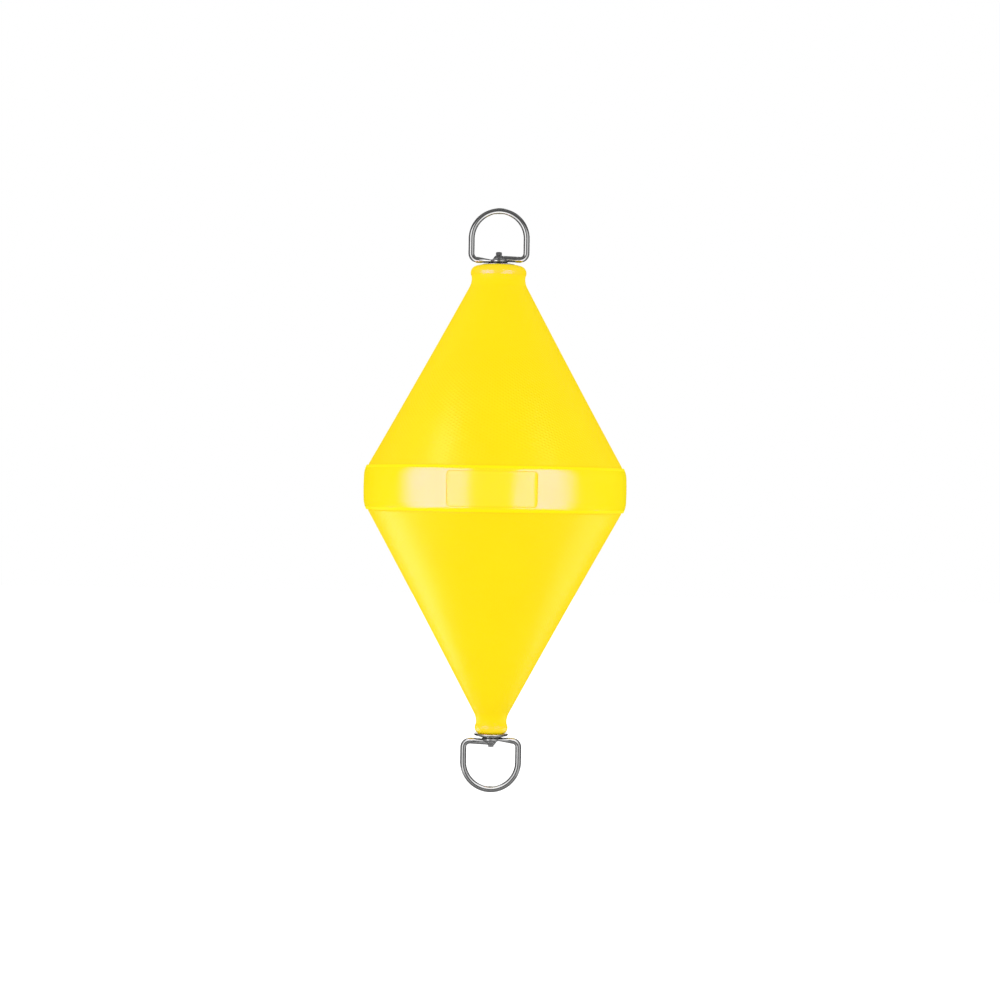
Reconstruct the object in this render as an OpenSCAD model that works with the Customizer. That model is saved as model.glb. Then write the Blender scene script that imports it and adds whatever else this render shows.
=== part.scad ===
/* [Belt] */
// Diameter over the belt, the widest place of the buoy
belt_d = 320; // [280:1:400]
// Height of the belt between the two grooves where it meets the cones
belt_h = 54; // [44:0.5:70]
// Radius of the belt's rounded edges
belt_edge_r = 30; // [22:0.5:40]
// Height of each rounded edge, from the belt's straight face to the ledge
belt_edge_h = 14; // [10:0.5:17]
// Width of the flat ledge between a rounded edge and its cone
belt_ledge = 1.8; // [1:0.1:4]

/* [Panel] */
// Width of the plain panel sunk in the front of the belt
panel_w = 105; // [60:1:130]
// Height of the panel
panel_h = 42; // [24:0.5:43]
// Radius of the panel's corners
panel_corner_r = 5; // [2:0.5:10]
// Depth of the panel below the face of the belt
panel_depth = 0.8; // [0.4:0.1:1.4]

/* [Cones and collars] */
// Height of the upper cone, from the belt to its neck
upper_cone_h = 223; // [180:1:280]
// Height of the lower cone, from the belt to its neck
lower_cone_h = 251; // [200:1:310]
// Diameter of the upper neck
upper_neck_d = 65.2; // [58:0.2:80]
// Diameter of the lower neck
lower_neck_d = 37.2; // [34:0.2:56]
// Radius of the hollow where a cone runs into its neck
neck_fillet_r = 25; // [12:1:30]
// Height of each collar, from the end of its cone to its end face
collar_h = 21.5; // [19:0.5:30]
// How far the bead of a collar stands out from the neck
bead_proud = 1.45; // [0.5:0.05:2.5]
// Radius of the round bead that ends a collar
bead_r = 8.75; // [6:0.25:9.5]
// Wall thickness of the hollow moulding
wall_t = 3.5; // [2.5:0.1:5]
// Depth of solid plastic behind the end of each cone, around the rod
plug_t = 5; // [3:0.5:12]

/* [Rod and washers] */
// Diameter of the steel rod that runs through the buoy
rod_d = 6; // [5:0.1:6.4]
// Diameter of the upset heads on the ends of the rod
rod_head_d = 7.6; // [7.2:0.1:9]
// Height of the upset heads
rod_head_h = 3.2; // [2:0.1:5]
// Outer diameter of the washers under the rings
washer_d = 42.4; // [34:0.2:50]
// Thickness of the washers at the middle, under the rings
washer_t = 3; // [2.4:0.1:4]
// Thickness of the washers at the rim, to which their outer faces slope
washer_rim_t = 1.5; // [1:0.1:2.2]

/* [Rings] */
// Diameter of the wire that the rings are bent from
wire_d = 7.5; // [6:0.1:8.5]
// Width of a ring over the wire
ring_w = 74.5; // [70:0.5:90]
// Height of a ring, from the washer's face to the top of its arch
ring_h = 67.5; // [60:0.5:90]
// Radius of the corner bends, at the middle of the wire
bend_r = 8; // [6:0.5:10]
// Thickness of the hammered eyes on both ends of the wire
eye_t = 4.5; // [3.5:0.1:5.5]
// Outer diameter of the eye next to the washer
inner_eye_d = 24; // [20:0.5:26]
// Outer diameter of the eye under the rod's head
outer_eye_d = 15; // [13:0.5:18]
// How much higher the bar of the outer eye leaves its corner
bar_rise = 0.85; // [0:0.05:1.5]

/* [Clearances] */
// Gap between the rod and the holes of the body and washers, at the radius
rod_fit = 0.1; // [0.05:0.05:0.3]
// Gap between the rod and the eyes that turn on it, at the radius
swivel_fit = 0.25; // [0.1:0.05:0.4]
// Gap between the faces of the eyes and what they turn on
swivel_gap = 0.3; // [0.2:0.05:0.6]

/* [Hidden] */
$fn = 96;
LOFT_FN = 32;
PLASTIC = [1.0, 0.89, 0.08];
STEEL = [0.74, 0.75, 0.77];

// Lap where two shapes run into each other, and the skin that keeps a loft inside them
lap = 0.5;
skin = 0.05;
// Reach of a cutting shape past what it cuts
past = 2;

// Belt section: its edge is an arc that leaves the face smoothly and ends at the ledge
belt_r = belt_d / 2;
groove_z = belt_h / 2;
edge_x = belt_r - belt_edge_r;
edge_z = groove_z - belt_edge_h;
ledge_r = edge_x + sqrt(belt_edge_r * belt_edge_r - belt_edge_h * belt_edge_h);
cone_r = ledge_r - belt_ledge;

// The two ends of the buoy. Columns: cone height, neck radius
ENDS = [[upper_cone_h, upper_neck_d / 2], [lower_cone_h, lower_neck_d / 2]];
UPPER = 0;
LOWER = 1;
function cone_h(end) = ENDS[end][0];
function neck_r(end) = ENDS[end][1];
function cone_tan(end) = (cone_r - neck_r(end)) / cone_h(end);
function cone_end_z(end) = groove_z + cone_h(end);
function face_z(end) = cone_end_z(end) + collar_h;
// The hollow of the neck: where its arc ends up the neck, and down and out along the cone
function hollow_rise(end) = neck_fillet_r * tan(atan(cone_tan(end)) / 2);
function hollow_drop(end) = hollow_rise(end) * cos(atan(cone_tan(end)));
function hollow_out(end) = hollow_rise(end) * sin(atan(cone_tan(end)));

// Stack on an end face, outward: washer, inner eye, outer eye, head of the rod
inner_eye_z = washer_t + swivel_gap + eye_t / 2;
outer_eye_z = inner_eye_z + eye_t + swivel_gap;
head_z = outer_eye_z + eye_t / 2 + swivel_gap;

// Ring outline, at the middle of the wire
wire_r = wire_d / 2;
arch_r = (ring_w - wire_d) / 2;
arch_z = washer_t + ring_h - ring_w / 2;
bar_z = washer_t + swivel_gap + wire_r;
eye_bore_r = rod_d / 2 + swivel_fit;
bend_x = arch_r - bend_r;

// Shares of an eye's radius: where the inner wire is hammered flat, and where the outer bar ends in its eye
FLAT_SHARE = 0.75;
JOIN_SHARE = 0.6;
// The two ends of the wire. Columns: side, height of its bar, middle of its eye, radius of its eye,
// distance from the axis at which the wire is hammered flat
WIRE_ENDS = [
    [-1, bar_z, inner_eye_z, inner_eye_d / 2, FLAT_SHARE * inner_eye_d / 2],
    [1, bar_z + bar_rise, outer_eye_z, outer_eye_d / 2, inner_eye_d / 2 + lap]
];
function end_side(row) = row[0];
function end_bar_z(row) = row[1];
function end_eye_z(row) = row[2];
function end_eye_r(row) = row[3];
function end_flat_x(row) = row[4];

// Right half of the belt's section, moved in from its surface
module belt_section(inset) {
    h = belt_h - 2 * inset;
    translate([0, -edge_z]) square([belt_r - inset, 2 * edge_z]);
    intersection() {
        translate([0, -h / 2]) square([belt_r, h]);
        union() {
            translate([0, -h / 2]) square([edge_x, h]);
            for (side = [-1, 1]) translate([edge_x, side * edge_z]) circle(r = belt_edge_r - inset);
        }
    }
}

// Right half of one cone's section, from inside the belt to the start of the neck's hollow
module cone_section(end) {
    polygon([
        [0, groove_z - lap],
        [cone_r + lap * cone_tan(end), groove_z - lap],
        [neck_r(end) + hollow_out(end), cone_end_z(end) - hollow_drop(end)],
        [0, cone_end_z(end) - hollow_drop(end)]
    ]);
}

// Right half of the hollow in one cone, a wall's thickness inside it
module cone_hollow_section(end) {
    slope = cone_tan(end);
    groove_r = cone_r - wall_t * sqrt(1 + slope * slope);
    from_z = groove_z - wall_t - lap;
    to_z = cone_end_z(end) - plug_t;
    polygon([
        [0, from_z],
        [groove_r + slope * (groove_z - from_z), from_z],
        [groove_r + slope * (groove_z - to_z), to_z],
        [0, to_z]
    ]);
}

// Right half of one collar's section, from the start of the neck's hollow to the end face
module collar_section(end) {
    r = neck_r(end);
    rise = hollow_rise(end);
    bead_x = r + bead_proud - bead_r;
    bead_z = collar_h - bead_r;
    difference() {
        polygon([
            [0, -hollow_drop(end) - lap],
            [r, -hollow_drop(end) - lap],
            [r + hollow_out(end), -hollow_drop(end)],
            [r + neck_fillet_r, rise],
            [0, rise]
        ]);
        translate([r + neck_fillet_r, rise]) circle(r = neck_fillet_r);
    }
    translate([0, rise - lap]) square([r, bead_z - rise + lap]);
    translate([bead_x, bead_z]) circle(r = bead_r);
    square([bead_x, collar_h]);
}

// Turns what is drawn for the upper end to the end where it belongs
module at_end(end) {
    if (end == UPPER) children();
    else rotate([0, 180, 0]) children();
}

// Outline of the panel, with round corners
module panel_outline() {
    turn_step = 15;
    // Columns: side across, side up
    corners = [[1, 1], [-1, 1], [-1, -1], [1, -1]];
    polygon([
        for (i = [0:3], turn = [0:turn_step:90]) [
            corners[i][0] * (panel_w / 2 - panel_corner_r) + panel_corner_r * cos(90 * i + turn),
            corners[i][1] * (panel_h / 2 - panel_corner_r) + panel_corner_r * sin(90 * i + turn)
        ]
    ]);
}

// The shallow pocket in the front of the belt whose floor is the panel
module panel_pocket() {
    edge_y = sqrt(belt_r * belt_r - panel_w * panel_w / 4) - belt_edge_r;
    difference() {
        rotate([90, 0, 0]) translate([0, 0, edge_y]) linear_extrude(belt_r + past - edge_y) panel_outline();
        rotate_extrude() belt_section(panel_depth);
    }
}

// The one-piece hollow moulding: belt, two cones and two collars
module buoy_body() {
    color(PLASTIC) difference() {
        union() {
            rotate_extrude() belt_section(0);
            for (end = [UPPER, LOWER]) at_end(end) rotate_extrude() {
                cone_section(end);
                translate([0, cone_end_z(end)]) collar_section(end);
            }
        }
        rotate_extrude() belt_section(wall_t);
        for (end = [UPPER, LOWER]) at_end(end) {
            rotate_extrude() cone_hollow_section(end);
            cylinder(h = face_z(end) + past, r = rod_d / 2 + rod_fit);
        }
        panel_pocket();
    }
}

// Puts a fitting drawn outward from an end face on that end of the buoy
module on_face(end) {
    at_end(end) translate([0, 0, face_z(end)]) children();
}

// The upset end of the rod: a short cylinder with a bevelled top
module rod_head() {
    bevel = rod_head_h / 3;
    translate([0, 0, head_z]) {
        cylinder(h = rod_head_h - bevel, d = rod_head_d);
        translate([0, 0, rod_head_h - bevel])
            cylinder(h = bevel, d1 = rod_head_d, d2 = rod_head_d - 2 * bevel);
    }
}

// The rod from ring to ring, which carries the pull through the buoy
module through_rod() {
    color(STEEL) {
        translate([0, 0, -face_z(LOWER) - head_z])
            cylinder(h = face_z(LOWER) + face_z(UPPER) + 2 * head_z, d = rod_d);
        for (end = [UPPER, LOWER]) on_face(end) rod_head();
    }
}

// A washer that is flat under the ring's inner eye and slopes to a round rim, face down on a collar
module washer() {
    bore_r = rod_d / 2 + rod_fit;
    rim_r = (washer_d - washer_rim_t) / 2;
    color(STEEL) rotate_extrude() {
        polygon([
            [bore_r, 0],
            [rim_r, 0],
            [rim_r, washer_rim_t],
            [inner_eye_d / 2, washer_t],
            [bore_r, washer_t]
        ]);
        translate([rim_r, washer_rim_t / 2]) circle(d = washer_rim_t);
    }
}

// A flat disc with a round rim, hammered from the end of the wire
module eye_disc(r) {
    rotate_extrude() {
        translate([0, -eye_t / 2]) square([r - eye_t / 2, eye_t]);
        translate([r - eye_t / 2, 0]) circle(d = eye_t);
    }
}

// A thin slice across the hammered wire, as wide as given
module flat_slice(x, z, w) {
    for (side = [-1, 1])
        translate([x, side * (w - eye_t) / 2, z]) rotate([0, 90, 0])
            cylinder(h = lap, d = eye_t - 2 * skin, $fn = LOFT_FN);
}

// One end of the wire on the side of positive X: leg, corner bend, hammered bar and eye
module wire_end(row) {
    z = end_bar_z(row);
    eye_r = end_eye_r(row);
    flat_x = end_flat_x(row);
    join_x = JOIN_SHARE * eye_r;
    join_w = 2 * sqrt(eye_r * eye_r - join_x * join_x) - 2 * lap;
    flat_w = flat_x < eye_r ? 2 * sqrt(eye_r * eye_r - flat_x * flat_x) - 2 * lap : (wire_d + join_w) / 2;
    translate([arch_r, 0, z + bend_r]) cylinder(h = arch_z - z - bend_r, d = wire_d);
    translate([bend_x, 0, z + bend_r]) rotate([90, 0, 0]) rotate([0, 0, -90])
        rotate_extrude(angle = 90) translate([bend_r, 0]) circle(d = wire_d);
    hull() {
        translate([bend_x, 0, z]) rotate([0, 90, 0])
            cylinder(h = lap, d = wire_d - 2 * skin, $fn = LOFT_FN);
        flat_slice(flat_x, end_eye_z(row), flat_w);
    }
    if (flat_x > eye_r) hull() {
        flat_slice(flat_x, end_eye_z(row), flat_w);
        flat_slice(join_x, end_eye_z(row), join_w);
    }
    translate([0, 0, end_eye_z(row)]) eye_disc(eye_r);
}

// A ring bent from one length of wire, its two eyes stacked on the rod
module ring() {
    color(STEEL) difference() {
        union() {
            translate([0, 0, arch_z]) rotate([90, 0, 0])
                rotate_extrude(angle = 180) translate([arch_r, 0]) circle(d = wire_d);
            for (row = WIRE_ENDS) {
                if (end_side(row) > 0) wire_end(row);
                else mirror([1, 0, 0]) wire_end(row);
            }
        }
        cylinder(h = head_z + past, r = eye_bore_r);
    }
}

module top_washer() { on_face(UPPER) washer(); }
module bottom_washer() { on_face(LOWER) washer(); }
module top_ring() { on_face(UPPER) ring(); }
module bottom_ring() { on_face(LOWER) ring(); }

buoy_body();
through_rod();
top_washer();
bottom_washer();
top_ring();
bottom_ring();
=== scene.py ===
import math
import bpy
import numpy as np
from mathutils import Matrix, Vector


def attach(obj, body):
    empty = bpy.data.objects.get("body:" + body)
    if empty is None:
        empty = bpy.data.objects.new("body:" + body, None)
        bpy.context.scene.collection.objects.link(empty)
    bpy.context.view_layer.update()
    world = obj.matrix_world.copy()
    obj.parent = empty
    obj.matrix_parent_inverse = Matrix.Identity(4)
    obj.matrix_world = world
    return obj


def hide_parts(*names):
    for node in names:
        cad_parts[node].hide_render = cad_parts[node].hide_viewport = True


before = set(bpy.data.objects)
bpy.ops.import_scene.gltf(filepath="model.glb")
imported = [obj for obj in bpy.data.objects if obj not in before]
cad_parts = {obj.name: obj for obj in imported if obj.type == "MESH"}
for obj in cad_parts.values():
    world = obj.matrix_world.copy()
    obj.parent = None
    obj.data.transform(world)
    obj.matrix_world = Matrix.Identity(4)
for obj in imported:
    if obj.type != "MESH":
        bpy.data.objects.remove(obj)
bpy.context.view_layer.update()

# Sizes of the pieces are in millimetres, those of the studio in metres
MM = 0.001

# Belt with round edges, dull rims and a ledge where each cone begins
BELT_R, BELT_HALF, BELT_CROWN = 160.0, 27.0, 0.25
EDGE_R, EDGE_H, EDGE_STOP = 30.0, 14.0, 0.4
EDGE_X, EDGE_Z = BELT_R - EDGE_R, BELT_HALF - EDGE_H
RIM_H, LEDGE = 3.2, 1.8
LEDGE_R = EDGE_X + math.sqrt(EDGE_R ** 2 - EDGE_H ** 2)

# Cones, which have sunk a little in the mould, with a soft groove beside the belt
CONE_R = LEDGE_R - LEDGE
UPPER = {"cone_h": 223.0, "neck_r": 32.6}
LOWER = {"cone_h": 251.0, "neck_r": 18.6}
CONE_SINK = 0.7
GROOVE_H, GROOVE_DIP, GROOVE_LIP = 3.6, 0.55, 1.3
GROOVE_RADII = 0.3, 1.2

# Collars
FILLET_R, COLLAR_H = 25.0, 21.5
BEAD_R, BEAD_PROUD = 8.75, 1.45
BORE_R, BORE_BREAK = 3.1, 0.4
UPPER_FACE = BELT_HALF + UPPER["cone_h"] + COLLAR_H
LOWER_FACE = BELT_HALF + LOWER["cone_h"] + COLLAR_H

# Front panel, a little deeper on its right, and the seam round it
PANEL_W, PANEL_H, PANEL_CORNER = 105.0, 42.0, 5.0
PANEL_RUN, PANEL_DEPTH, PANEL_TILT = 5.5, 1.0, 0.35
SEAM_W, SEAM_DEPTH = 0.6, 0.3
SEAM_START, SEAM_END = -0.1, 0.05 - SEAM_W

# Rod and washers
ROD_R, HEAD_R, UPPER_HEAD, LOWER_HEAD = 3.0, 3.7, 4.2, 2.4
HEAD_BREAK, HEAD_ROUND = 0.3, 1.0
WASHER_R, WASHER_T, WASHER_FLAT_R, WASHER_BORE_R = 21.2, 3.0, 12.2, 3.1
FLAT_RIM_T, DISHED_RIM_T, DISH = 1.5, 3.2, 2.3
DISH_UNDER = [(12.5, 0.0), (14.5, -0.35), (16.5, -1.0), (18.4, -1.9)]

# Rings, with heights above the collar's face
WIRE_R, ARCH_R, ARCH_Z, BEND_R = 3.75, 33.5, 33.25, 8.0
BEND_X = ARCH_R - BEND_R
EYE_T, EYE_BORE_R, EYE_BREAK = 4.5, 3.25, 0.3
INNER_EYE = {"z": 5.55, "r": 12.0, "bar_z": 7.05, "bar_x": 5.0, "flat_x": 9.0, "side": -1}
OUTER_EYE = {"z": 10.35, "r": 7.5, "bar_z": 7.9, "bar_x": 4.5, "flat_x": 12.5, "side": 1}
HEAD_Z = 12.9


# Mesh making

def mesh_object(name, points, faces, smooth=True):
    mesh = bpy.data.meshes.new(name)
    mesh.from_pydata([tuple(p) for p in points], [], faces)
    mesh.update()
    mesh.polygons.foreach_set("use_smooth", [smooth] * len(mesh.polygons))
    obj = bpy.data.objects.new(name, mesh)
    bpy.context.scene.collection.objects.link(obj)
    return obj


def grid_faces(rows, columns, close_rows=False):
    """Quads of a grid whose columns run round and close. With close_rows the rows close too."""
    faces = []
    for i in range(rows if close_rows else rows - 1):
        n = (i + 1) % rows
        for j in range(columns):
            k = (j + 1) % columns
            faces.append((i * columns + j, n * columns + j, n * columns + k, i * columns + k))
    return faces


def arc(cx, cz, r, a0, a1, steps):
    """Points of an arc in the (r, z) plane, angles in degrees."""
    angles = [math.radians(a0 + (a1 - a0) * i / steps) for i in range(steps + 1)]
    return [(cx + r * math.cos(a), cz + r * math.sin(a)) for a in angles]


def line(p, q, steps):
    """Points from p, which is left out, to q."""
    return [(p[0] + (q[0] - p[0]) * i / steps, p[1] + (q[1] - p[1]) * i / steps)
            for i in range(1, steps + 1)]


def bend(start, corner, end, t):
    """A point of the curve from start to end that is drawn towards corner."""
    point = (1 - t) ** 2 * start + 2 * t * (1 - t) * corner + t ** 2 * end
    return point.x, point.y


def rounded(points, radii, steps=5):
    """An open line of points whose inner corners are rounded with the given radii."""
    out = [points[0]]
    for p, q, s, r in zip(points, points[1:], points[2:], radii):
        corner = Vector(q)
        a, b = Vector(p) - corner, Vector(s) - corner
        # A rounding takes less than half of each side
        cut = min(r / math.tan(a.angle(b) / 2), 0.48 * a.length, 0.48 * b.length)
        start, end = corner + a.normalized() * cut, corner + b.normalized() * cut
        out += [bend(start, corner, end, i / steps) for i in range(steps + 1)]
    return out + [points[-1]]


def lathe(name, profile, columns=96):
    """A closed skin of revolution about Z. A profile whose ends lie on the axis is closed there."""
    turn = np.linspace(0, 2 * math.pi, columns, endpoint=False)
    on_axis = profile[0][0] < 1e-6
    inner = profile[1:-1] if on_axis else profile
    points = [(r * math.cos(a) * MM, r * math.sin(a) * MM, z * MM) for r, z in inner for a in turn]
    faces = grid_faces(len(inner), columns, close_rows=not on_axis)
    if on_axis:
        first, last = len(points), len(points) + 1
        points += [(0, 0, profile[0][1] * MM), (0, 0, profile[-1][1] * MM)]
        base = (len(inner) - 1) * columns
        for j in range(columns):
            k = (j + 1) % columns
            faces.append((first, j, k))
            faces.append((base + k, base + j, last))
    return mesh_object(name, points, faces)


def turn_over(obj):
    """Turns a piece drawn for the upper end to the lower end."""
    obj.data.transform(Matrix.Rotation(math.pi, 4, "Y"))


# The moulding: belt, panel, cones and collars in one closed skin of revolution

CONE_ROWS, HOLLOW_ROWS, CREASE_ROWS, BEAD_ROWS = 30, 10, 7, 26
EDGE_ROWS, HOLE_ROWS, BELT_ROW_H = 26, 8, 1.0
# The hollow ends and the bead begins a few degrees from the crease between them
HOLLOW_END, BEAD_START = 183.0, 9.0

# The finishes in the order of the skin's material slots
FINISHES = "belt", "cone", "panel", "collar", "seam", "neck", "rim", "lower_collar"
# Where two finishes meet, the face between them has the one that comes first here
FINISH_ORDER = "rim", "belt", "cone", "neck", "collar", "lower_collar"


def end_profile(end):
    """Points from the belt's ledge outward to the rod's hole, and the finish at each."""
    neck, top = end["neck_r"], BELT_HALF + end["cone_h"]
    face_z = top + COLLAR_H
    slope = (CONE_R - neck) / end["cone_h"]
    angle = math.atan(slope)
    rise = FILLET_R * math.tan(angle / 2)

    def on_cone(z):
        return CONE_R - slope * (z - BELT_HALF)

    lip, groove_top = BELT_HALF + GROOVE_LIP, BELT_HALF + GROOVE_H
    groove = rounded([
        (LEDGE_R - 0.35, BELT_HALF - 0.02),
        (CONE_R - GROOVE_DIP, BELT_HALF - 0.1),
        (on_cone(lip) - 0.05, lip),
        (on_cone(groove_top), groove_top),
    ], GROOVE_RADII)

    cone_end = (neck + rise * math.sin(angle), top - rise * math.cos(angle))
    straight = line((on_cone(groove_top), groove_top), cone_end, CONE_ROWS)
    shares = np.linspace(1 / CONE_ROWS, 1, CONE_ROWS)
    cone = [(r - CONE_SINK * 4 * t * (1 - t), z) for (r, z), t in zip(straight, shares)]

    hollow_start = 180 + math.degrees(angle)
    hollow = arc(neck + FILLET_R, top + rise, FILLET_R, hollow_start, HOLLOW_END, HOLLOW_ROWS)[1:]
    bead_x, bead_z = neck + BEAD_PROUD - BEAD_R, face_z - BEAD_R
    crease_angle = -math.acos((BEAD_R - BEAD_PROUD) / BEAD_R)
    bead = arc(bead_x, bead_z, BEAD_R, math.degrees(crease_angle) + BEAD_START, 90, BEAD_ROWS)
    crease = Vector((neck, bead_z + BEAD_R * math.sin(crease_angle)))
    before, after = Vector(hollow[-1]), Vector(bead[0])
    hollow += [bend(before, crease, after, i / CREASE_ROWS) for i in range(1, CREASE_ROWS)]

    face = [
        (bead_x * 0.6 + BORE_R * 0.4, face_z),
        (BORE_R + BORE_BREAK, face_z),
        (BORE_R, face_z - BORE_BREAK),
    ]
    finishes = ["cone"] * (len(groove) + len(cone))
    finishes += ["neck"] * len(hollow) + ["collar"] * (len(bead) + len(face))
    return groove + cone + hollow + bead + face, finishes


def belt_profile():
    """From the upper ledge down to the lower one, with a slight crown on the face."""
    stop = math.degrees(math.asin((EDGE_H - EDGE_STOP) / EDGE_R))
    edge = arc(EDGE_X, EDGE_Z, EDGE_R, 0, stop, EDGE_ROWS)[1:]
    edge += [(LEDGE_R - 0.06, BELT_HALF - 0.12), (LEDGE_R - 0.18, BELT_HALF - 0.03)]
    edge = [(r - BELT_CROWN * max(0.0, (r - LEDGE_R) / (BELT_R - LEDGE_R)), z) for r, z in edge]
    heights = np.arange(EDGE_Z, -EDGE_Z - 0.01, -BELT_ROW_H)
    face = [(BELT_R - BELT_CROWN * (z / EDGE_Z) ** 2, z) for z in heights]
    return edge[::-1] + face + [(r, -z) for r, z in edge]


def skin_profile():
    """The outline from the upper face down to the lower one and back up the rod's hole."""
    upper, upper_finishes = end_profile(UPPER)
    lower, lower_finishes = end_profile(LOWER)
    belt = belt_profile()
    hole_start, hole_end = (BORE_R, BORE_BREAK - LOWER_FACE), (BORE_R, UPPER_FACE - BORE_BREAK)
    hole = line(hole_start, hole_end, HOLE_ROWS)[:-1]
    finishes = upper_finishes[::-1]
    finishes += ["belt" if abs(z) < BELT_HALF - RIM_H else "rim" for _, z in belt]
    finishes += ["lower_collar" if finish == "collar" else finish for finish in lower_finishes]
    finishes += ["collar"] * len(hole)
    return upper[::-1] + belt + [(r, -z) for r, z in lower] + hole, finishes


# Steps round the skin in degrees, close together at the panel's sides
PANEL_STEP, SIDE_STEP, BACK_COLUMNS = 1.0, 0.15, 129
SIDE_BEFORE, SIDE_AFTER, BACK_AFTER = 2.7, 0.35, 0.6


def skin_angles():
    """Angles in degrees from the panel's middle."""
    side = math.degrees(math.asin(PANEL_W / 2 / BELT_R))
    half = list(np.arange(0, side - SIDE_BEFORE - 0.1, PANEL_STEP))
    half += list(np.arange(side - SIDE_BEFORE, side + SIDE_AFTER, SIDE_STEP))
    half += list(np.linspace(side + BACK_AFTER, 180, BACK_COLUMNS + 1))[:-1]
    return np.array(sorted([-a for a in half[1:]] + half + [180.0]))


def panel_distance(x, z):
    """Signed distance to the panel's rounded outline, negative inside."""
    qx = np.abs(x) - (PANEL_W / 2 - PANEL_CORNER)
    qz = np.abs(z) - (PANEL_H / 2 - PANEL_CORNER)
    outside = np.hypot(np.maximum(qx, 0), np.maximum(qz, 0))
    return outside + np.minimum(np.maximum(qx, qz), 0) - PANEL_CORNER


def panel_depth(x, distance):
    """Depth of the panel's floor, which curves up to the seam."""
    floor_depth = PANEL_DEPTH + PANEL_TILT * np.clip(2 * x / PANEL_W, -1, 1)
    share = np.clip(-distance / PANEL_RUN, 0, 1)
    seam = np.clip(-distance / SEAM_W, 0, 1) * SEAM_DEPTH
    return np.maximum(floor_depth * share * (2 - share), seam)


def skin_slots(finishes, on_front, distance):
    """The material slot of each face of the skin."""
    rows, columns = distance.shape
    slots = []
    for i in range(rows):
        n = (i + 1) % rows
        plain = next(finish for finish in FINISH_ORDER if finish in (finishes[i], finishes[n]))
        for j in range(columns):
            k = (j + 1) % columns
            finish = plain
            if on_front[i, j] and on_front[n, k]:
                corners = distance[i, j], distance[i, k], distance[n, j], distance[n, k]
                # Faces on the panel's step take the seam's darker yellow, a painted shade line
                if min(corners) < SEAM_START:
                    finish = "panel" if max(corners) < SEAM_END else "seam"
            slots.append(FINISHES.index(finish))
    return slots


def make_body():
    profile, finishes = skin_profile()
    turn = np.radians(skin_angles())
    r = np.array([p[0] for p in profile])[:, None]
    z = np.repeat(np.array([p[1] for p in profile])[:, None], len(turn), 1)
    x, y = r * np.sin(turn), -r * np.cos(turn)
    belt_rows = np.array([finish == "belt" for finish in finishes])
    on_front = belt_rows[:, None] & (np.cos(turn) > 0)
    distance = panel_distance(x, z)
    depth = np.where(on_front & (distance < 0), panel_depth(x, distance), 0)
    scale = (r - depth) / r
    points = np.stack([x * scale, y * scale, z], 2).reshape(-1, 3) * MM
    obj = mesh_object("buoy_body_skin", points, grid_faces(len(profile), len(turn), close_rows=True))
    slots = skin_slots(finishes, on_front, distance)
    obj.data.polygons.foreach_set("material_index", slots)
    return obj


# Washers and rod

def make_washer(name, face, lower):
    """A washer domed towards its ring. The lower one is dished round its narrow collar."""
    rim_t, dish = (DISHED_RIM_T, DISH) if lower else (FLAT_RIM_T, 0.0)
    rim_r = rim_t / 2
    rim_x, low = WASHER_R - rim_r, rim_t - dish
    section = [(WASHER_BORE_R, 0.25), (WASHER_BORE_R + 0.25, 0.0), (WASHER_R * 0.5, 0.0)]
    if lower:
        section += DISH_UNDER
    section += arc(rim_x, rim_r - dish, rim_r, -90, 78, 12)
    # The outer face rises from the rim to the flat middle, steepest half way
    for t in np.linspace(0.12, 1, 12):
        share = t * t * (3 - 2 * t) * 0.35 + t * 0.65
        section.append((rim_x - (rim_x - WASHER_FLAT_R) * t, low + (WASHER_T - low) * share))
    section += [(10.0, WASHER_T), (WASHER_BORE_R + 0.35, WASHER_T), (WASHER_BORE_R, WASHER_T - 0.35)]
    obj = lathe(name, section[::-1], 128)
    obj.data.transform(Matrix.Translation((0, 0, face * MM)))
    if lower:
        turn_over(obj)
    return obj


def make_rod():
    def half(face, height):
        foot, top = face + HEAD_Z, face + HEAD_Z + height
        head = [(ROD_R, foot - 0.25), (ROD_R + 0.25, foot), (HEAD_R - HEAD_BREAK, foot)]
        head += arc(HEAD_R - HEAD_BREAK, foot + HEAD_BREAK, HEAD_BREAK, -80, 0, 4)
        # The hammered end is nearly flat
        head += arc(HEAD_R - HEAD_ROUND, top - 1.3, HEAD_ROUND, 0, 75, 8)
        return head + [(1.6, top - 0.12), (0.0, top)]
    upper = half(UPPER_FACE, UPPER_HEAD)
    lower = [(r, -z) for r, z in reversed(half(LOWER_FACE, LOWER_HEAD))]
    shaft = line(lower[-1], upper[0], 12)[:-1]
    return lathe("rod_with_heads", lower + shaft + upper, 64)


# Rings

BAR_ROWS, BEND_ROWS, SIDE_ROWS, ARCH_ROWS = 30, 16, 7, 72
# How the outer bar rises towards its eye, and where it thins below
OUTER_RISE_TOP, OUTER_RISE_BOTTOM, OUTER_THINNING, OUTER_THIN_X = 0.9, 0.8, 2.6, 8.5
FLAT_POWER = 0.72


def sweep(rows, around=48):
    """A closed tube through rows of (centre, normal in the ring's plane, half width, half thickness)."""
    turn = np.linspace(0, 2 * math.pi, around, endpoint=False)
    points = []
    for centre, normal, wide, thick in rows:
        # Flatter stretches have squarer sides
        power = 1.0 if wide <= thick * 1.02 else FLAT_POWER
        for a in turn:
            c = math.cos(a)
            u, v = math.copysign(abs(c) ** power, c) * thick, math.sin(a) * wide
            points.append(((centre[0] + normal[0] * u) * MM, v * MM, (centre[1] + normal[1] * u) * MM))
    faces = grid_faces(len(rows), around)
    faces.append(tuple(range(around)))
    faces.append(tuple((len(rows) - 1) * around + j for j in reversed(range(around))))
    return points, faces


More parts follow.
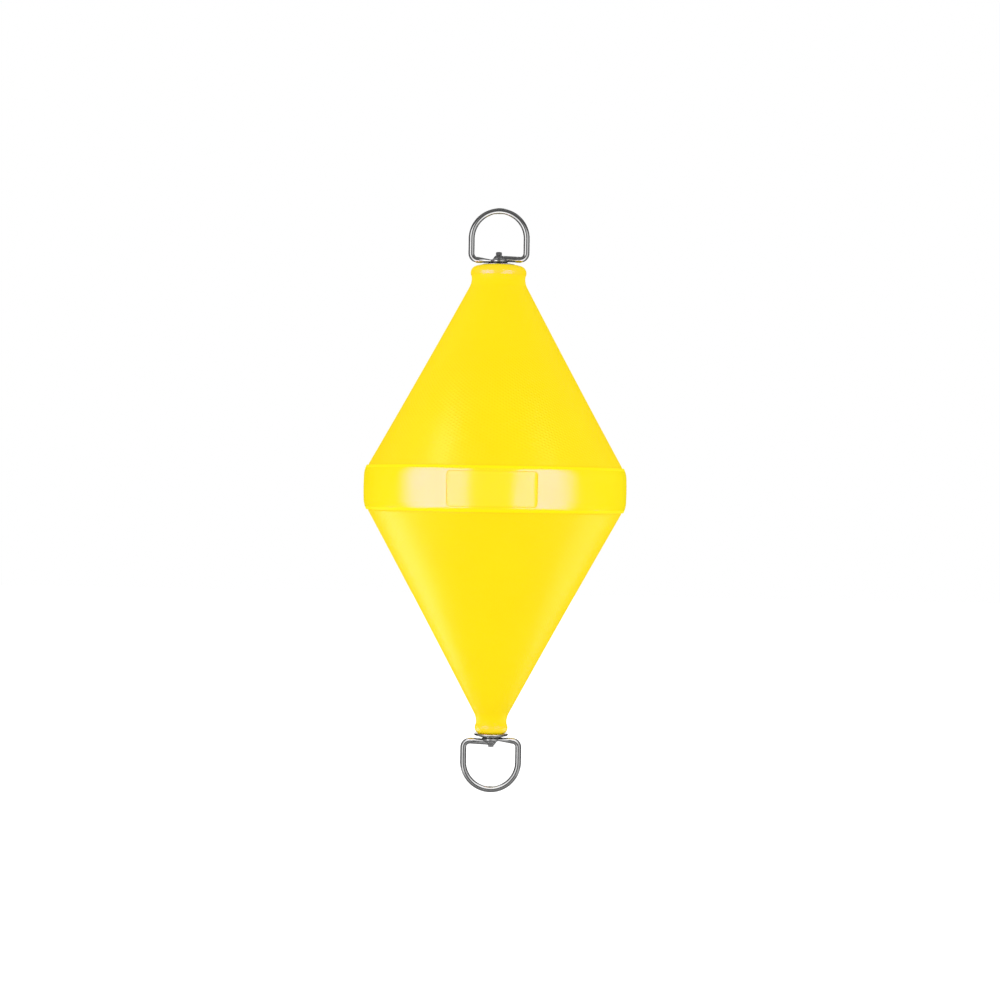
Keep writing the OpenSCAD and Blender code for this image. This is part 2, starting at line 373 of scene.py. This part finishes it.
def bar_rows(eye):
    """Rows along a bar from its eye to the bend."""
    outer = eye is OUTER_EYE
    start_x, flat_x = eye["bar_x"], eye["flat_x"]
    half_eye = EYE_T / 2 - 0.05

    def chord(x):
        return math.sqrt(max(eye["r"] ** 2 - x * x, 0)) - 0.5

    start_w = chord(start_x)
    flat_w = (WIRE_R + start_w) / 2 if outer else chord(flat_x)
    rows = []
    for x in np.linspace(start_x, BEND_X, BAR_ROWS):
        t = min(max((x - flat_x) / (BEND_X - flat_x), 0), 1)
        if t > 0:
            wide = flat_w + (WIRE_R - flat_w) * (1 - (1 - t) ** 1.6)
        elif outer:
            wide = start_w + (flat_w - start_w) * (x - start_x) / (flat_x - start_x)
        else:
            wide = chord(x)
        if outer:
            # This bar stays as thick as the wire nearly to its eye
            rise = (BEND_X - x) / (BEND_X - start_x)
            thinning = max(0.0, (OUTER_THIN_X - x) / (OUTER_THIN_X - start_x)) ** 2
            high = eye["bar_z"] + WIRE_R + OUTER_RISE_TOP * rise
            low = eye["bar_z"] - WIRE_R + OUTER_RISE_BOTTOM * rise + OUTER_THINNING * thinning
            thick, centre = (high - low) / 2, (high + low) / 2
        else:
            thick = half_eye + (WIRE_R - half_eye) * t
            centre = eye["z"] + (eye["bar_z"] - eye["z"]) * t
        rows.append(((eye["side"] * x, centre), (0.0, -1.0), wide, thick))
    return rows


def bend_rows(eye):
    """Rows round the bend at the end of a bar and up to the arch."""
    side, corner = eye["side"], eye["bar_z"] + BEND_R
    rows = []
    for a in np.radians(np.linspace(0, 90, BEND_ROWS + 1)[1:]):
        out = (side * math.sin(a), -math.cos(a))
        centre = (side * BEND_X + BEND_R * out[0], corner + BEND_R * out[1])
        rows.append((centre, out, WIRE_R, WIRE_R))
    for z in np.linspace(corner, ARCH_Z, SIDE_ROWS + 1)[1:]:
        rows.append(((side * ARCH_R, z), (side * 1.0, 0.0), WIRE_R, WIRE_R))
    return rows


def wire_rows():
    """Rows along the wire from the inner eye over the arch to the outer one."""
    arch = []
    for a in np.radians(np.linspace(180, 0, ARCH_ROWS + 1)[1:-1]):
        out = (math.cos(a), math.sin(a))
        arch.append(((ARCH_R * out[0], ARCH_Z + ARCH_R * out[1]), out, WIRE_R, WIRE_R))
    inner, outer = (bar_rows(eye) + bend_rows(eye) for eye in (INNER_EYE, OUTER_EYE))
    return inner + arch + outer[::-1]


def make_eye(eye):
    """A hammered disc with a hole, its outline a little uneven. The outer one is conical."""
    half, r_eye, bore = EYE_T / 2, eye["r"], EYE_BORE_R
    section = [(bore, EYE_BREAK - half), (bore + EYE_BREAK, -half), ((bore + r_eye) / 2, -half)]
    if eye is OUTER_EYE:
        section += [(r_eye - 0.5, -half), (r_eye - 0.1, -half + 0.4), (r_eye, -half + 0.9)]
        section += line(section[-1], (5.0, half - 0.3), 8) + [(4.7, half - 0.06)]
    else:
        section += arc(r_eye - half, 0, half, -90, 90, 16)
    section += [(bore + 1.0, half), (bore + EYE_BREAK, half), (bore, half - EYE_BREAK)]
    obj = lathe("eye", section)
    for v in obj.data.vertices:
        share = (math.hypot(v.co.x, v.co.y) / MM - bore - 1) / (r_eye - bore - 1)
        if share > 0:
            a = math.atan2(v.co.y, v.co.x)
            waves = 1 + math.sin(2 * a + 0.7) * 0.6 + math.sin(5 * a + r_eye) * 0.4
            uneven = 1 - 0.012 * share * waves
            v.co.x *= uneven
            v.co.y *= uneven
        v.co.z += eye["z"] * MM
    return obj


def make_ring(name, face, lower):
    points, faces = sweep(wire_rows())
    obj = mesh_object(name, points, faces)
    for eye in (INNER_EYE, OUTER_EYE):
        disc = make_eye(eye)
        weld = obj.modifiers.new("weld", "BOOLEAN")
        weld.operation, weld.solver, weld.object = "UNION", "EXACT", disc
        bpy.context.view_layer.update()
        welded = obj.evaluated_get(bpy.context.evaluated_depsgraph_get())
        mesh = bpy.data.meshes.new_from_object(welded)
        obj.modifiers.clear()
        obj.data = mesh
        bpy.data.objects.remove(disc)
    obj.data.name = name
    obj.data.polygons.foreach_set("use_smooth", [True] * len(obj.data.polygons))
    obj.data.set_sharp_from_angle(angle=math.radians(40))
    obj.data.transform(Matrix.Translation((0, 0, face * MM)))
    if lower:
        turn_over(obj)
    return obj


body = make_body()
upper_ring = make_ring("bent_wire_ring_upper", UPPER_FACE, False)
lower_ring = make_ring("bent_wire_ring_lower", LOWER_FACE, True)
upper_washer = make_washer("domed_washer_upper", UPPER_FACE, False)
lower_washer = make_washer("domed_washer_lower", LOWER_FACE, True)
rod = make_rod()


# Materials

class Nodes:
    """Adds nodes to a material or to the world and joins them."""

    def __init__(self, owner, empty=False):
        owner.use_nodes = True
        self.nodes, self.links = owner.node_tree.nodes, owner.node_tree.links
        if empty:
            self.nodes.clear()

    def add(self, kind, **values):
        node = self.nodes.new(kind)
        for key, value in values.items():
            setattr(node, key, value)
        return node

    def join(self, output, socket):
        self.links.new(output, socket)

    def calc(self, operation, *values):
        """A sum with one or two values, each a number or another node's output."""
        node = self.add("ShaderNodeMath", operation=operation)
        for socket, value in zip(node.inputs, values):
            if isinstance(value, (int, float)):
                socket.default_value = value
            else:
                self.join(value, socket)
        return node.outputs[0]

    def place(self):
        return self.add("ShaderNodeTexCoord").outputs["Object"]

    def split(self, vector):
        node = self.add("ShaderNodeSeparateXYZ")
        self.join(vector, node.inputs[0])
        return node.outputs

    def noise(self, vector, scale, detail, roughness=0.55):
        node = self.add("ShaderNodeTexNoise")
        node.inputs["Scale"].default_value = scale
        node.inputs["Detail"].default_value = detail
        node.inputs["Roughness"].default_value = roughness
        self.join(vector, node.inputs["Vector"])
        return node.outputs["Fac"]

    def spread(self, value, low, high):
        """Spreads a noise's usual range over low to high."""
        node = self.add("ShaderNodeMapRange")
        node.inputs["From Min"].default_value = 0.3
        node.inputs["From Max"].default_value = 0.7
        node.inputs["To Min"].default_value = low
        node.inputs["To Max"].default_value = high
        self.join(value, node.inputs["Value"])
        return node.outputs["Result"]

    def two_colours(self, share, first, second):
        node = self.add("ShaderNodeMix", data_type="RGBA")
        sockets = [s for s in node.inputs if s.type == "RGBA"]
        for socket, colour in zip(sockets, (first, second)):
            socket.default_value = (*colour, 1)
        self.join(share, node.inputs["Factor"])
        return next(s for s in node.outputs if s.type == "RGBA")

    def bump(self, height, shader):
        """Raises the surface by a height in metres."""
        node = self.add("ShaderNodeBump")
        node.inputs["Strength"].default_value = 1.0
        node.inputs["Distance"].default_value = 1.0
        self.join(height, node.inputs["Height"])
        self.join(node.outputs[0], shader.inputs["Normal"])


# Dots of the cones' grain: columns round the buoy and height of a row in millimetres
GRAIN_COLUMNS, GRAIN_ROW_H, GRAIN_POWER = 108.0, 3.9, 1.5


def plastic(name, colours, rough, level, tint, ripple, grain=0.0, ior=1.52):
    """Moulded yellow plastic. Ripple and grain are heights in millimetres, of soft waves and of dots."""
    material = bpy.data.materials.new(name)
    tree = Nodes(material)
    shader, place = tree.nodes["Principled BSDF"], tree.place()
    cloud = tree.spread(tree.noise(place, 9.0, 4.0), 0, 1)
    tree.join(tree.two_colours(cloud, colours[1], colours[0]), shader.inputs["Base Color"])
    stain = tree.noise(place, 60.0, 4.0)
    tree.join(tree.spread(stain, rough - 0.03, rough + 0.04), shader.inputs["Roughness"])
    shader.inputs["IOR"].default_value = ior
    shader.inputs["Specular IOR Level"].default_value = level
    shader.inputs["Specular Tint"].default_value = (*tint, 1)
    waves = tree.calc("MULTIPLY", tree.noise(place, 70.0, 1.0), ripple * MM)
    fine = tree.calc("MULTIPLY", tree.noise(place, 900.0, 2.0), ripple * MM * 0.08)
    height = tree.calc("ADD", waves, fine)
    if grain:
        x, y, z = tree.split(place)
        turns = tree.calc("MULTIPLY", tree.calc("ARCTAN2", x, y), GRAIN_COLUMNS)
        rows = tree.calc("MULTIPLY", z, 2 * math.pi / (GRAIN_ROW_H * MM))
        lattice = tree.calc("MULTIPLY", tree.calc("COSINE", turns), tree.calc("COSINE", rows))
        dots = tree.calc("POWER", tree.calc("MAXIMUM", lattice, 0.0), GRAIN_POWER)
        height = tree.calc("ADD", height, tree.calc("MULTIPLY", dots, grain * MM))
    tree.bump(height, shader)
    return material


def steel(name, light, dark, rough, turned=False):
    """Bright steel. A turned piece has marks round its axis, the others have dents and drawing marks."""
    material = bpy.data.materials.new(name)
    tree = Nodes(material)
    shader, place = tree.nodes["Principled BSDF"], tree.place()
    shader.inputs["Metallic"].default_value = 1.0
    cloud = tree.spread(tree.noise(place, 120.0, 5.0, 0.6), 0, 1)
    tree.join(tree.two_colours(cloud, dark, light), shader.inputs["Base Color"])
    stain = tree.noise(place, 420.0, 4.0)
    tree.join(tree.spread(stain, rough - 0.05, rough + 0.07), shader.inputs["Roughness"])
    if turned:
        x, y, _ = tree.split(place)
        square = tree.calc("ADD", tree.calc("MULTIPLY", x, x), tree.calc("MULTIPLY", y, y))
        marks = tree.add("ShaderNodeTexNoise", noise_dimensions="1D")
        marks.inputs["Scale"].default_value = 2600.0
        marks.inputs["Detail"].default_value = 3.0
        tree.join(tree.calc("SQRT", square), marks.inputs["W"])
        height = tree.calc("MULTIPLY", marks.outputs["Fac"], 0.03 * MM)
    else:
        dents = tree.calc("MULTIPLY", tree.noise(place, 260.0, 2.0), 0.03 * MM)
        marks = tree.calc("MULTIPLY", tree.noise(place, 1500.0, 3.0), 0.003 * MM)
        height = tree.calc("ADD", dents, marks)
    tree.bump(height, shader)
    return material


# Each yellow is a pair between which the plastic varies
BELT_YELLOW = (1.0, 0.872, 0.005), (0.99, 0.84, 0.004)
CONE_YELLOW = (1.0, 0.775, 0.003), (0.985, 0.742, 0.002)
COLLAR_YELLOW = (1.0, 0.775, 0.005), (0.985, 0.742, 0.004)
# The seam's yellow is darker than the belt's: painted shade along the panel's step
SEAM_SHADE_YELLOW = (0.96, 0.76, 0.006), (0.94, 0.73, 0.005)
# Tints of the gloss
CREAM = (1.0, 0.02, 1.0)
PALE = (1.0, 1.0, 0.85)

MOULDING = {
    "belt": plastic("yellow_gloss", BELT_YELLOW, 0.15, 0.75, CREAM, 0.02),
    "cone": plastic("yellow_grain", CONE_YELLOW, 0.36, 0.8, PALE, 0.03, grain=0.15, ior=1.15),
    "panel": plastic("yellow_panel", BELT_YELLOW, 0.2, 0.57, CREAM, 0.02),
    "collar": plastic("yellow_collar", COLLAR_YELLOW, 0.22, 0.6, CREAM, 0.008),
    # The seam's darker yellow is painted shade
    "seam": plastic("yellow_seam_painted_shade", SEAM_SHADE_YELLOW, 0.35, 0.5, PALE, 0.02, ior=1.15),
    "neck": plastic("yellow_neck", COLLAR_YELLOW, 0.45, 0.5, PALE, 0.03, ior=1.15),
    "rim": plastic("yellow_edge", BELT_YELLOW, 0.45, 0.5, PALE, 0.02, ior=1.1),
    "lower_collar": plastic("yellow_lower_collar", COLLAR_YELLOW, 0.27, 0.5, CREAM, 0.008, ior=1.38),
}
RING_STEEL = steel("ring_wire_steel", (0.54, 0.54, 0.535), (0.44, 0.44, 0.445), 0.11)
WASHER_STEEL = steel("washer_pressed_steel", (0.55, 0.55, 0.54), (0.45, 0.45, 0.45), 0.16, turned=True)
ROD_STEEL = steel("rod_plain_steel", (0.42, 0.42, 0.42), (0.33, 0.33, 0.335), 0.2)

for finish in FINISHES:
    body.data.materials.append(MOULDING[finish])

PIECES = [
    (body, "buoy", "buoy_body", "yellow_plastic", None),
    (rod, "buoy", "through_rod", "rod_steel", ROD_STEEL),
    (upper_washer, "buoy", "top_washer", "washer_steel", WASHER_STEEL),
    (lower_washer, "buoy", "bottom_washer", "washer_steel", WASHER_STEEL),
    (upper_ring, "upper_ring", "top_ring", "ring_steel", RING_STEEL),
    (lower_ring, "lower_ring", "bottom_ring", "ring_steel", RING_STEEL),
]
for obj, rides_on, node, slot, metal in PIECES:
    if metal:
        obj.data.materials.clear()
        obj.data.materials.append(metal)
    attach(obj, rides_on)
    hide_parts(node)


# Camera at the photograph's angle. Its aim is in pixels right of and below the buoy's origin

PICTURE, PIXEL, SENSOR = 1000, 1.2187 * MM, 36.0
AIM_RIGHT, AIM_DOWN = 4.95, 11.05
DISTANCE = 2.5
OFFSET, ROLL = math.radians(1.33), math.radians(0.95)


def place_camera():
    level, up_axis = Vector((math.cos(OFFSET), math.sin(OFFSET), 0)), Vector((0, 0, 1))
    right = math.cos(ROLL) * level + math.sin(ROLL) * up_axis
    up = math.cos(ROLL) * up_axis - math.sin(ROLL) * level
    eye = DISTANCE * Vector((math.sin(OFFSET), -math.cos(OFFSET), 0))
    target = PIXEL * (AIM_RIGHT * right - AIM_DOWN * up)
    back = (eye - target).normalized()
    right = up.cross(back).normalized()
    up = back.cross(right)
    data = bpy.data.cameras.new("camera")
    data.sensor_width = SENSOR
    data.lens = SENSOR * DISTANCE / (PICTURE * PIXEL)
    camera = bpy.data.objects.new("camera", data)
    bpy.context.scene.collection.objects.link(camera)
    camera.matrix_world = Matrix.Translation(eye) @ Matrix((right, up, back)).transposed().to_4x4()
    bpy.context.scene.camera = camera


place_camera()


# Studio: a white room, soft lamps, and glowing sheets that only mirrored rays see.
# Azimuths are in degrees from the camera, to the right

def around(azimuth, radius, z):
    """A point round the buoy's axis."""
    a = OFFSET + math.radians(azimuth)
    return radius * math.sin(a), -radius * math.cos(a), z


world = bpy.data.worlds.new("studio")
bpy.context.scene.world = world
world.cycles.sampling_method = "NONE"
tree = Nodes(world, empty=True)
white = tree.add("ShaderNodeBackground")
white.inputs["Color"].default_value = (1, 1, 1, 1)
white.inputs["Strength"].default_value = 1.0
tree.join(white.outputs[0], tree.add("ShaderNodeOutputWorld").inputs["Surface"])

FLOOR_Z, FLOOR_HALF, FLOOR_WHITE, FLOOR_GLOW = -0.75, 12.0, 0.95, 0.4


def make_floor():
    """A white floor that glows a little for the camera and for mirrored and refracted rays."""
    corners = [(-1, -1), (1, -1), (1, 1), (-1, 1)]
    points = [(FLOOR_HALF * x, FLOOR_HALF * y, FLOOR_Z) for x, y in corners]
    floor = mesh_object("floor", points, [(0, 1, 2, 3)], smooth=False)
    material = bpy.data.materials.new("white_floor")
    tree = Nodes(material, empty=True)
    path = tree.add("ShaderNodeLightPath").outputs
    seen = tree.calc("MAXIMUM", path["Is Camera Ray"], path["Is Glossy Ray"])
    seen = tree.calc("MAXIMUM", seen, path["Is Transmission Ray"])
    matt, glow = tree.add("ShaderNodeBsdfDiffuse"), tree.add("ShaderNodeEmission")
    matt.inputs["Color"].default_value = (FLOOR_WHITE, FLOOR_WHITE, FLOOR_WHITE, 1)
    tree.join(tree.calc("MULTIPLY", seen, FLOOR_GLOW), glow.inputs["Strength"])
    both = tree.add("ShaderNodeAddShader")
    tree.join(matt.outputs[0], both.inputs[0])
    tree.join(glow.outputs[0], both.inputs[1])
    tree.join(both.outputs[0], tree.add("ShaderNodeOutputMaterial").inputs["Surface"])
    floor.data.materials.append(material)


make_floor()


def receivers(name, objects):
    group = bpy.data.collections.new(name)
    for obj in objects:
        group.objects.link(obj)
    return group


PLASTIC_PIECES = receivers("plastic_pieces", [body])
UPPER_STEEL = receivers("upper_steel", [upper_washer, upper_ring])
LOWER_STEEL = receivers("lower_steel", [lower_washer, lower_ring])
ROD_PIECES = receivers("rod_pieces", [rod])


def area_lamp(name, place, aim, size, power):
    """A square lamp at a place, aimed at a point."""
    data = bpy.data.lights.new(name, "AREA")
    data.shape, data.size, data.energy = "SQUARE", size, power
    obj = bpy.data.objects.new(name, data)
    bpy.context.scene.collection.objects.link(obj)
    towards = (Vector(place) - Vector(aim)).to_track_quat("Z", "Y")
    obj.matrix_world = Matrix.Translation(place) @ towards.to_matrix().to_4x4()
    return obj


def lamp(name, azimuth, elevation, distance, size, power):
    """A soft lamp aimed at the buoy, without a reflection."""
    e = math.radians(elevation)
    place = around(azimuth, distance * math.cos(e), distance * math.sin(e))
    area_lamp(name, place, (0, 0, 0), size, power).visible_glossy = False


def sheen(name, place, aim, size, power):
    """A lamp that only gives gloss on the moulding."""
    obj = area_lamp(name, place, aim, size, power)
    obj.visible_camera = False
    obj.visible_diffuse = False
    obj.light_linking.receiver_collection = PLASTIC_PIECES


lamp("left_lamp", -50, 8, 2.6, 1.8, 5)
lamp("right_lamp", 55, 8, 2.6, 1.8, 3)
lamp("low_left_lamp", -80, -32, 1.1, 0.5, 0.35)
lamp("low_right_lamp", 80, -32, 1.1, 0.5, 0.35)
sheen("low_left_sheen", (-0.537, 0.167, -0.42), (-0.09, -0.07, -0.1), 0.35, 1.6)
sheen("low_right_sheen", (0.537, 0.167, -0.42), (0.09, -0.07, -0.1), 0.35, 1.05)
sheen("high_left_sheen", (-0.177, -0.187, 0.195), (-0.061, -0.134, 0.041), 0.07, 0.2)
sheen("high_right_sheen", (0.177, -0.187, 0.195), (0.061, -0.134, 0.041), 0.07, 0.065)

WHITE = (1, 1, 1)
WARM = (1.0, 0.78, 0.02)
ROSE = (1.0, 0.1, 1.0)


def card(name, rows, glows, lights, colour, clear):
    """A sheet through rows of points that shines on some pieces only. A clear one lets rays pass."""
    wide = len(rows[0])
    faces = [(i * wide + j, i * wide + j + 1, (i + 1) * wide + j + 1, (i + 1) * wide + j)
             for i in range(len(rows) - 1) for j in range(wide - 1)]
    obj = mesh_object(name, [point for row in rows for point in row], faces)
    obj.data.attributes.new("glow", "FLOAT", "POINT").data.foreach_set("value", glows)
    material = bpy.data.materials.new(name)
    tree = Nodes(material, empty=True)
    glow = tree.add("ShaderNodeEmission")
    glow.inputs["Color"].default_value = (*colour, 1)
    strength = tree.add("ShaderNodeAttribute", attribute_name="glow").outputs["Fac"]
    tree.join(strength, glow.inputs["Strength"])
    shine = glow.outputs[0]
    if clear:
        both = tree.add("ShaderNodeAddShader")
        tree.join(shine, both.inputs[0])
        tree.join(tree.add("ShaderNodeBsdfTransparent").outputs[0], both.inputs[1])
        shine = both.outputs[0]
    tree.join(shine, tree.add("ShaderNodeOutputMaterial").inputs["Surface"])
    obj.data.materials.append(material)
    obj.visible_camera = False
    obj.visible_diffuse = False
    obj.visible_shadow = False
    obj.visible_transmission = False
    obj.visible_volume_scatter = False
    obj.light_linking.receiver_collection = lights


UPRIGHT_COLUMNS, UPRIGHT_ROWS = 120, 60
LEVEL_COLUMNS, LEVEL_ROWS = 72, 6


def upright_card(name, azimuths, heights, radius, glow, lights, colour=WHITE, clear=True):
    """A sheet bent round the buoy, whose glow is a function of azimuth and height."""
    turn, rise = np.linspace(*azimuths, UPRIGHT_COLUMNS + 1), np.linspace(*heights, UPRIGHT_ROWS + 1)
    rows = [[around(azimuth, radius, z) for azimuth in turn] for z in rise]
    glows = [glow(azimuth, z) for z in rise for azimuth in turn]
    card(name, rows, glows, lights, colour, clear)


def level_card(name, azimuths, radii, z, glow, lights, clear=True):
    """A level sheet over or under the buoy with an even glow."""
    turn = np.linspace(*azimuths, LEVEL_COLUMNS + 1)
    steps = np.linspace(*radii, LEVEL_ROWS + 1)
    rows = [[around(azimuth, radius, z) for azimuth in turn] for radius in steps]
    card(name, rows, [glow] * (len(rows) * len(turn)), lights, WHITE, clear)


def ramp(x, low, high):
    """Rises softly from 0 to 1 between low and high."""
    t = min(max((x - low) / (high - low), 0), 1)
    return t * t * (3 - 2 * t)


def window(x, rise, fall):
    """Rises softly over one stretch and falls again over another."""
    return ramp(x, *rise) * (1 - ramp(x, *fall))


# The two cards in the belt's reflection
CARD_LOW, CARD_HIGH, CARD_SOFT = -0.38, 0.43, 0.02
CARD_R, CARD_HEIGHTS, CARD_GLOW = 0.75, (-0.5, 0.56), 7.6


def in_height(z):
    low, high = ((edge - CARD_SOFT, edge + CARD_SOFT) for edge in (CARD_LOW, CARD_HIGH))
    return window(z, low, high)


def left_glow(azimuth, z):
    return CARD_GLOW * in_height(z) * window(azimuth, (-86, -60), (-23, -18))


def right_glow(azimuth, z):
    # The inner edge leans
    inner = 15.5 + 4 * min(max(z / 0.45, -1), 1)
    return CARD_GLOW * in_height(z) * window(azimuth, (inner - 2, inner + 2), (46, 73))


# What the steel mirrors
STEEL_HEIGHTS, ROUND = (-0.73, 1.36), (-180, 180)
FRONT_HALF = 110


def boxes(azimuth):
    """Two tall soft boxes with a dark gap between them, as upright wire sees them."""
    core = window(azimuth, (-52, -44), (-30, -24))
    left = window(azimuth, (-66, -58), (-20, -13)) * (1.0 + 1.4 * core)
    right = window(azimuth, (14, 22), (62, 72))
    gap = window(azimuth, (-20, -13), (14, 22))
    sides = window(azimuth, (-104, -96), (-66, -58)) + window(azimuth, (62, 72), (96, 104))
    return left + right + 0.16 * gap + 0.25 * sides


def bright_front(azimuth):
    return 0.3 + 1.6 * window(azimuth, (-60, -40), (40, 60))


def behind(azimuth):
    """Two narrow boxes behind, for the views from the back."""
    return 0.05 + 1.4 * window(abs(azimuth), (148, 153), (170, 176))


def upper_steel_glow(azimuth, z):
    if abs(azimuth) > FRONT_HALF:
        return behind(azimuth)
    below, above = 1 - ramp(z, 0.08, 0.16), ramp(z, 0.5, 0.6)
    return (1 - below - above) * boxes(azimuth) + below * bright_front(azimuth) + above * 0.13


def lower_steel_glow(azimuth, z):
    if abs(azimuth) > FRONT_HALF:
        return behind(azimuth)
    below, above = 1 - ramp(z, -0.6, -0.52), ramp(z, -0.2, -0.12)
    top = bright_front(azimuth) * (1 - 0.6 * ramp(z, 0.6, 0.9))
    return (1 - below - above) * 0.8 * boxes(azimuth) + below * 0.3 + above * top


def rod_glow(azimuth, z):
    return 0.3 + 0.6 * (1 - ramp(z, -0.1, 0.1))


def shell_glow(azimuth, z):
    """The room behind the moulding, dark where the two cards stand."""
    return 0.8 * (1 - window(azimuth, (-88, -84), (72, 76)))


upright_card("left_card", (-86, -17), CARD_HEIGHTS, CARD_R, left_glow, PLASTIC_PIECES, ROSE)
upright_card("right_card", (9, 73), CARD_HEIGHTS, CARD_R, right_glow, PLASTIC_PIECES, ROSE)
upright_card("upper_steel_card", ROUND, STEEL_HEIGHTS, 0.62, upper_steel_glow, UPPER_STEEL)
upright_card("lower_steel_card", ROUND, STEEL_HEIGHTS, 0.63, lower_steel_glow, LOWER_STEEL)
upright_card("shell", (-168, 168), (-0.74, 1.39), 1.2, shell_glow, PLASTIC_PIECES, WARM, clear=False)
upright_card("rod_card", ROUND, STEEL_HEIGHTS, 0.64, rod_glow, ROD_PIECES)
level_card("floor_card", ROUND, (0.0, 1.2), -0.745, 0.3, LOWER_STEEL, clear=False)
level_card("front_runner", (-20, 13), (0.02, 1.15), -0.74, 0.7, UPPER_STEEL)
level_card("dark_ceiling", ROUND, (0.0, 2.6), 1.4, 0.0, PLASTIC_PIECES, clear=False)
level_card("upper_ceiling", ROUND, (0.0, 1.15), 1.38, 0.16, UPPER_STEEL)
level_card("lower_ceiling", ROUND, (0.0, 1.15), 1.37, 0.8, LOWER_STEEL)

bpy.context.scene.view_settings.view_transform = "Standard"
